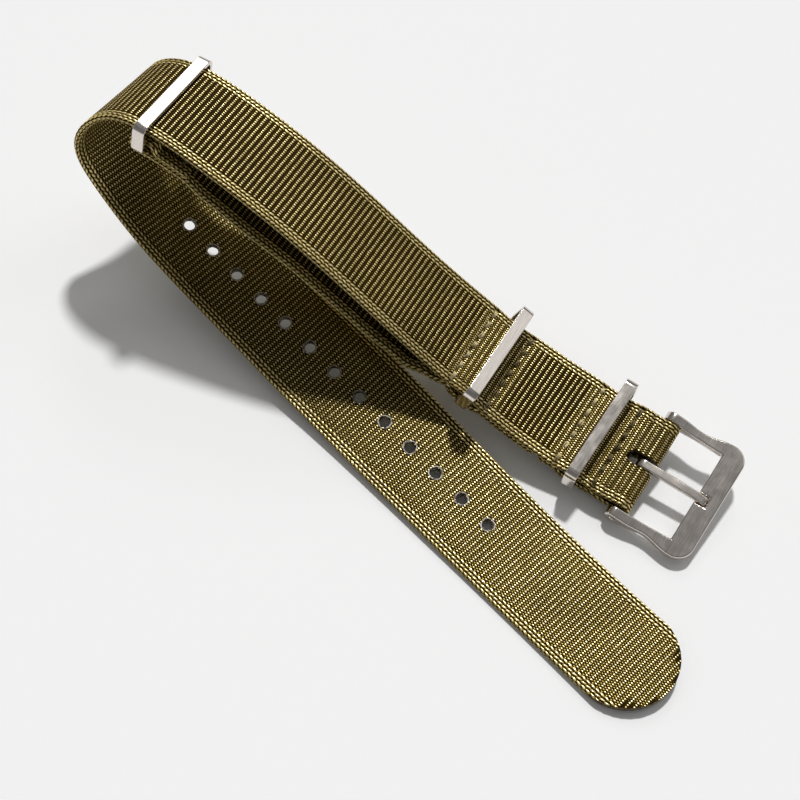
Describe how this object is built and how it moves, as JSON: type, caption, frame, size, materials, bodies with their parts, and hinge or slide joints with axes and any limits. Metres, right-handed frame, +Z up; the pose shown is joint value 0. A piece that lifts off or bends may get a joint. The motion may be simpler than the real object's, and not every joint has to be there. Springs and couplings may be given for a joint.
{
  "type": "watch strap",
  "caption": "Woven nylon pass-through watch strap with a pin buckle on a spring bar and metal keeper rings, lying folded over itself on a table.",
  "frame": {"origin": "on the table, under the middle of the whole folded strap", "axes": "+Z up from the table, +X along the flat tail towards its tip and the buckle, +Y across the tail towards the side where the buckle lies"},
  "size_m": [0.1416, 0.0562, 0.0405],
  "materials": {
    "webbing": "ribbed nylon weave with a satin sheen, olive",
    "thread": "olive nylon sewing thread",
    "brushed_steel": "stainless steel, brushed on its flats and polished at its bends",
    "spring_steel": "bright drawn steel"
  },
  "bodies": {
    "strap": {"main_strap": "webbing", "keeper_strap": "webbing", "bar_tube": "spring_steel", "bar_spring": "spring_steel", "keeper_end_stitches": "thread", "front_ring_bar_side_stitches": "thread", "middle_ring_bar_side_stitches": "thread", "front_ring_loop_side_stitches": "thread", "middle_ring_loop_side_stitches": "thread"},
    "buckle_frame": {"buckle_frame": "brushed_steel"},
    "buckle_tongue": {"buckle_tongue": "brushed_steel"},
    "front_ring": {"front_ring": "brushed_steel"},
    "middle_ring": {"middle_ring": "brushed_steel"},
    "rear_ring": {"rear_ring": "brushed_steel"},
    "near_plunger": {"near_plunger": "spring_steel"},
    "far_plunger": {"far_plunger": "spring_steel"}
  },
  "joints": [
    {"name": "buckle_swing", "type": "hinge", "parent": "strap", "child": "buckle_frame", "pos_m": [0.03966, 0.01349, 0.00455], "axis": [0.2176, -0.9538, -0.2074], "range_deg": [-30, 60]},
    {"name": "tongue_lift", "type": "hinge", "parent": "buckle_frame", "child": "buckle_tongue", "pos_m": [0.03966, 0.01349, 0.00455], "axis": [0.2176, -0.9538, -0.2074], "range_deg": [0, 50]},
    {"name": "front_ring_rock", "type": "hinge", "parent": "strap", "child": "front_ring", "pos_m": [0.03023, 0.01127, 0.00469], "axis": [-0.2146, 0.964, 0.1573], "range_deg": [-10, 10]},
    {"name": "middle_ring_rock", "type": "hinge", "parent": "strap", "child": "middle_ring", "pos_m": [0.00722, 0.00518, 0.00959], "axis": [-0.2607, 0.9652, 0.0221], "range_deg": [-10, 10]},
    {"name": "rear_ring_rock", "type": "hinge", "parent": "strap", "child": "rear_ring", "pos_m": [-0.05774, -0.01409, 0.03361], "axis": [-0.3079, 0.947, -0.0915], "range_deg": [-10, 10]},
    {"name": "near_plunger_press", "type": "slide", "parent": "strap", "child": "near_plunger", "axis": [-0.2176, 0.9538, 0.2074], "range_m": [0, 0.001], "stiffness_N_per_m": 400, "springref_m": -0.0005, "deforming": ["bar_spring"]},
    {"name": "far_plunger_press", "type": "slide", "parent": "strap", "child": "far_plunger", "axis": [0.2176, -0.9538, -0.2074], "range_m": [0, 0.001], "stiffness_N_per_m": 400, "springref_m": -0.0005, "deforming": ["bar_spring"]}
  ]
}
